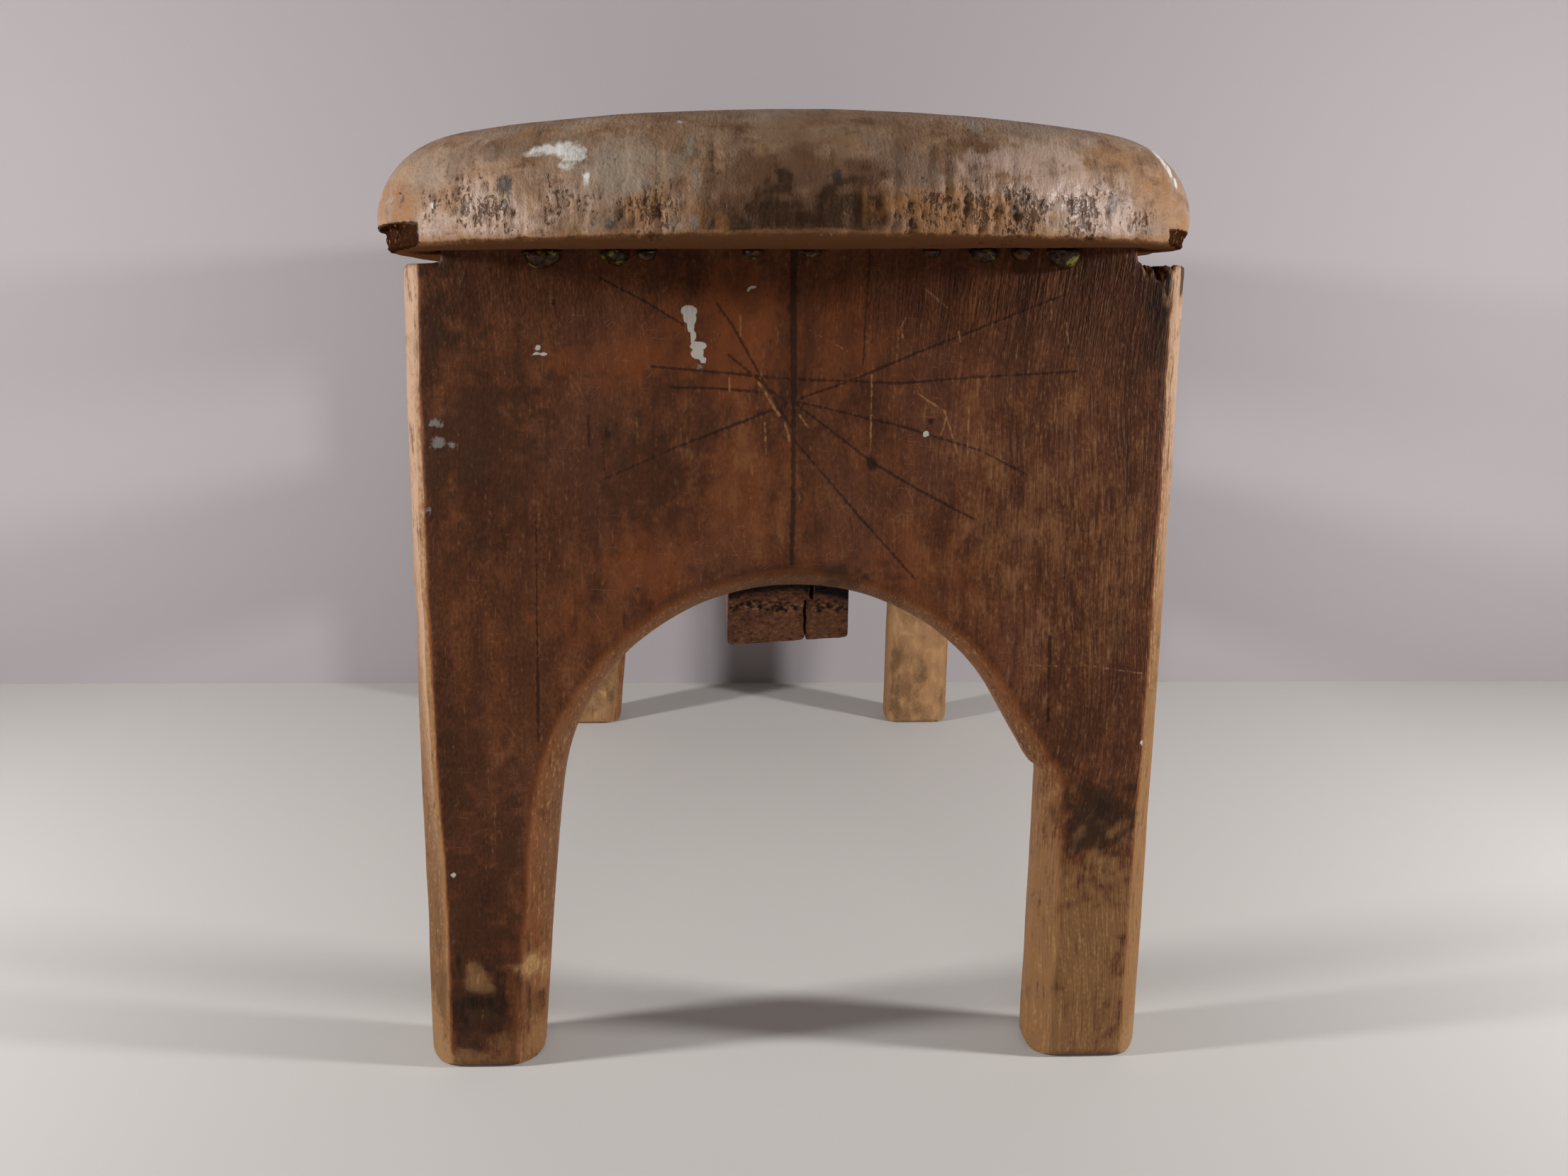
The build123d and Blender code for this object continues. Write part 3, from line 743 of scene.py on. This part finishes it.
    wood = laid(tree, wood, "#b08d6a", read["proud"], 0.7, 1.4, 0.35)
    sole = varied(tree, -1.0, [(upper, -0.05), (specks, 1.0), (grime, 1.0), (read["edge"], 0.1)])
    wood = laid(tree, wood, "#977450", sole, -1.6, -0.9, 0.6)
    splits = varied(tree, read["torn"], [(specks, 0.6), (fibres, 0.8)])
    wood = laid(tree, wood, "#9a7552", splits, 0.1, 0.45, 0.8)
    wood = laid(tree, wood, "#22140d", splits, 0.55, 0.95, 0.9)
    tarry = varied(tree, read["black"], [(specks, 1.2), (fibres, 1.2), (grime, 1.0)])
    wood = laid(tree, wood, "#1a100b", tarry, 0.3, 1.1, 0.78)
    if side < 0:
        drawn = stroked(tree, place, dark_lines, -outer_face)
        wood = laid(tree, wood, "#21140f", varied(tree, drawn, [(specks, 1.0)]), 0.45, 0.0, 0.7)
        cut = stroked(tree, place, pale_scratches, -outer_face)
        wood = laid(tree, wood, "#a5794f", varied(tree, cut, [(specks, 1.6)]), 0.3, -0.1, 0.6)
    smeared = varied(tree, read["smudge"], [(specks, 1.6)])
    wood = laid(tree, wood, "#8b8680", smeared, 0.45, 0.95, 0.7)
    painted = varied(tree, read["paint"], [(specks, 0.3)])
    wood = laid(tree, wood, "#bcb7ae", painted, 0.47, 0.61, 0.95)
    sheen = summed(tree, [(grime, 0.6), (flecks, 0.25), (read["pale"], 0.08)], 0.14)
    parts = [(combed, 0.35), (fibres, 0.06), (specks, 0.25), (glinting_flecks, 0.2), (grime, 0.4), (streaks, 0.3)]
    height = summed(tree, parts)
    bump = add(tree, "Bump", {"Height": height, "Strength": 0.9, "Distance": mm}).outputs[0]
    inputs = {"Base Color": wood, "Roughness": sheen, "Specular IOR Level": 0.1, "Normal": bump}
    feed(tree, shader, inputs)
    board.data.materials.append(finish)
    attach(board, "root")
    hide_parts(node)


# The rail: a sawn stick, tenoned into both boards, that keeps the legs from spreading. Its front end
# split as it dried, and the rings show as a row of small pits across the end grain.
rail_voxel = 0.5
jog_z = 150.8
split_x = (7.4, 9.4)
split_closed = (0.75, 0.45)
split_waver = 0.7
rail_wear = 0.35
rail_pit_depth = 1.2
fuzz_height = 0.25
rail, points, _, normals, proud = worn_copy("worn_rail", "rail", rail_voxel)
waver = split_waver * lumps(points, (90, 90, 2.6), 105)
beside = points[:, 0] - np.where(points[:, 2] < jog_z, *split_x) + waver
near = ease(np.abs(beside), 5, 1.2) * ease(points[:, 1], -105, -125)
closed = np.where(points[:, 2] < jog_z, *split_closed)
points[:, 0] -= near * (np.sign(beside) * closed + waver)
end = ease(np.abs(normals[:, 1]), 0.5, 0.8)
row = marks(points, [(-5, 148.6, 17, 2.6, 1.0), (15, 148.4, 9, 2.2, 1.0)], 0.1, 101)
from_arch = np.hypot(points[:, 0] - arch_x, points[:, 2] - arch_z)
shade = 1.3 * ease(from_arch, arch_radius - 7, arch_radius - 2.5) + 0.4 * ease(points[:, 0], 6, 8)
deep = pits(points, (1.9, 3, 1.9), 0.8, 102) * np.maximum(row, 0.3) * end
wave = undulation * lumps(points, 30.0, 103) - rail_wear * np.clip(proud, 0, 2)
fuzz = fuzz_height * end * lumps(points, (2.2, 4, 2.2), 104)
fields = keep(
    rail,
    points + normals * (wave + fuzz - rail_pit_depth * deep)[:, None],
    {"proud": proud, "deep": deep, "end": end, "row": row * end, "shade": shade * end},
)

# Rough-sawn hardwood, never finished: brown and dull along the grain, with crumbling saw-fuzzed end
# grain that took up more dirt, and near black where it lies in the board's shade.
finish, tree, shader, place, read = new_finish("sawn rail wood", fields)
streaks = figure(tree, place, (7, 220, 7), 3.0, 1.0)
fibres = figure(tree, place, (1.4, 40, 1.4), 2.0, 2.0)
clouds = figure(tree, place, (22, 40, 22), 3.0, 4.0)
specks = figure(tree, place, (1.2, 1.5, 1.2), 2.0, 5.0)
crumbs = figure(tree, place, (1.6, 1.6, 1.0), 3.0, 6.0)
wood = toned(
    tree,
    [(streaks, 0.5), (clouds, 0.5), (fibres, 0.3), (specks, 0.5)],
    [(0.36, "#432a1c"), (0.46, "#5c3a28"), (0.56, "#765038"), (0.66, "#8d664a")],
)
blush = varied(tree, read["end"], [(clouds, 0.6), (specks, 0.4)])
wood = laid(tree, wood, "#744730", blush, 0.2, 0.9, 0.7)
wood = laid(tree, wood, "#a06a40", varied(tree, read["end"], [(crumbs, 2.2)]), 1.05, 1.35, 0.6)
wood = laid(tree, wood, "#37190f", varied(tree, read["end"], [(crumbs, -2.2)]), 1.1, 1.4, 0.7)
wood = laid(tree, wood, "#a98561", varied(tree, read["row"], [(crumbs, 4.0)]), 1.0, 1.6, 0.75)
wood = laid(tree, wood, "#1f130c", varied(tree, read["row"], [(crumbs, -4.0)]), 0.95, 1.4, 0.85)
holes = varied(tree, read["deep"], [(specks, 0.5)])
wood = laid(tree, wood, "#1c100a", holes, 0.12, 0.4, 0.9)
shade = varied(tree, read["shade"], [(specks, 0.5), (clouds, 0.4)])
wood = laid(tree, wood, "#23150e", shade, 0.3, 0.8, 0.6)
wood = laid(tree, wood, "#0a0605", shade, 0.6, 1.1, 0.97)
wood = laid(tree, wood, "#a07855", read["proud"], 0.4, 1.0, 0.5)
height = summed(tree, [(fibres, 0.4), (specks, 0.9), (crumbs, 0.5), (streaks, 0.4)])
bump = add(tree, "Bump", {"Height": height, "Strength": 1.0, "Distance": mm}).outputs[0]
feed(tree, shader, {"Base Color": wood, "Roughness": 0.66, "Specular IOR Level": 0.25, "Normal": bump})
rail.data.materials.append(finish)
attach(rail, "root")
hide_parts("rail")


# The glue: beads of old hide glue that were squeezed out of the housing along the front joint, ran
# down a little and set there, each as a lump half buried in the corner.
glue_voxel = 0.35
glue, points, _, normals, _ = worn_copy("old_glue", "glue_beads", glue_voxel)
lumpy = 0.7 * lumps(points, 3.6, 111) + 0.3 * lumps(points, 1.7, 112) - 0.1
keep(glue, points + normals * lumpy[:, None], {})

# Hide glue set hard in the air: a dark glossy skin that catches small bright lights, amber and
# yellow-green where it is thin, and rusty where it took up stain.
finish, tree, shader, place, _ = new_finish("hardened hide glue")
body = figure(tree, place, (4.0, 4.5, 3.0), 2.0, 1.0)
crust = figure(tree, place, (26, 26, 26), 1.0, 3.0)
skin = figure(tree, place, (1.8, 1.8, 1.2), 2.0, 2.0)
glow = laid(tree, linear("#33200f"), "#8c8236", body, 0.53, 0.66, 0.85)
glow = laid(tree, glow, "#5d3a1c", body, 0.46, 0.36, 0.8)
glow = laid(tree, glow, "#6b3f20", varied(tree, crust, [(skin, 0.5)]), 0.52, 0.66, 0.8)
glow = laid(tree, glow, "#150e09", skin, 0.50, 0.60, 0.85)
bump = add(tree, "Bump", {"Height": skin, "Strength": 0.7, "Distance": mm}).outputs[0]
feed(tree, shader, {"Base Color": glow, "Roughness": 0.1, "Specular IOR Level": 0.18, "Normal": bump})
glue.data.materials.append(finish)
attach(glue, "root")
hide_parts("glue_beads")


# The floor is matt card and the wall behind it matt emulsion, both pale and without a shine. The wall
# is seen from its front only, so that it doesn't stand before the stool's back.
floor_size = 6000.0
wall_y = 262.0
wall_height = 3000.0
for name, corners, colour in (
    ("floor", [(-1, -1, 0), (1, -1, 0), (1, 1, 0), (-1, 1, 0)], "#c1bdb9"),
    ("wall", [(-1, 0, 0), (1, 0, 0), (1, 0, 1), (-1, 0, 1)], "#9e9799"),
):
    sheet = bpy.data.meshes.new(name)
    reach = Vector((floor_size / 2, floor_size / 2, wall_height)) * mm
    shift = Vector((0, wall_y * mm if name == "wall" else 0, 0))
    sheet.from_pydata([Vector(c) * reach + shift for c in corners], [], [(0, 1, 2, 3)])
    stage = bpy.data.objects.new(name, sheet)
    bpy.context.scene.collection.objects.link(stage)
    finish, tree, shader, _, _ = new_finish("matt " + name)
    inputs = {"Base Color": linear(colour), "Roughness": 0.9, "Specular IOR Level": 0.2}
    feed(tree, shader, inputs)
    if name == "wall":
        behind = add(tree, "NewGeometry").outputs["Backfacing"]
        clear = add(tree, "BsdfTransparent").outputs[0]
        seen = add(tree, "MixShader", {0: behind, 1: shader.outputs[0], 2: clear}).outputs[0]
        feed(tree, tree.nodes["Material Output"], {0: seen})
    stage.data.materials.append(finish)

# Two small soft lamps stand low at the stool's left and right, a little before its front. A wide dim
# lamp behind the camera and an even sky fill the rest.
lamps = (
    ("left lamp", (-765, -310, 360), 80, 6.3),
    ("right lamp", (765, -310, 360), 80, 6.3),
    ("front lamp", (0, -1500, 900), 900, 3.6),
)
for name, stand, size, power in lamps:
    lamp = bpy.data.lights.new(name, "AREA")
    lamp.shape = "DISK"
    lamp.size = size * mm
    lamp.energy = power
    holder = bpy.data.objects.new(name, lamp)
    holder.location = Vector(stand) * mm
    aim = Vector((0, 0, 150)) - Vector(stand)
    holder.rotation_euler = aim.to_track_quat("-Z", "Y").to_euler()
    bpy.context.scene.collection.objects.link(holder)

sky_strength = 0.17
world = bpy.data.worlds.new("dim sky")
world.use_nodes = True
tree = world.node_tree
feed(tree, tree.nodes["Background"], {0: linear("#ffffff"), 1: sky_strength})
bpy.context.scene.world = world

# The camera stands where the photograph was taken from: close to the stool's front end, just below
# the height of the seat, and looking down a little.
camera_place = Vector((-22.5, -584.0, 240.1)) * mm
camera_yaw, camera_pitch, camera_roll = -0.05601, 0.20435, 0.01381
focal_pixels = 1855.7
photo_width = 2212
lens = bpy.data.cameras.new("camera")
lens.sensor_width = 36.0
lens.lens = focal_pixels / photo_width * lens.sensor_width
camera = bpy.data.objects.new("camera", lens)
bpy.context.scene.collection.objects.link(camera)
ahead = Vector((-sin(camera_yaw), cos(camera_yaw), 0)) * cos(camera_pitch)
ahead.z = -sin(camera_pitch)
right = Vector((cos(camera_yaw), sin(camera_yaw), 0))
up = right.cross(ahead)
tilted_right = right * cos(camera_roll) + up * sin(camera_roll)
tilted_up = up * cos(camera_roll) - right * sin(camera_roll)
turn = Matrix((tilted_right, tilted_up, -ahead)).transposed()
camera.matrix_world = Matrix.Translation(camera_place) @ turn.to_4x4()
bpy.context.scene.camera = camera
bpy.context.scene.view_settings.view_transform = "Standard"
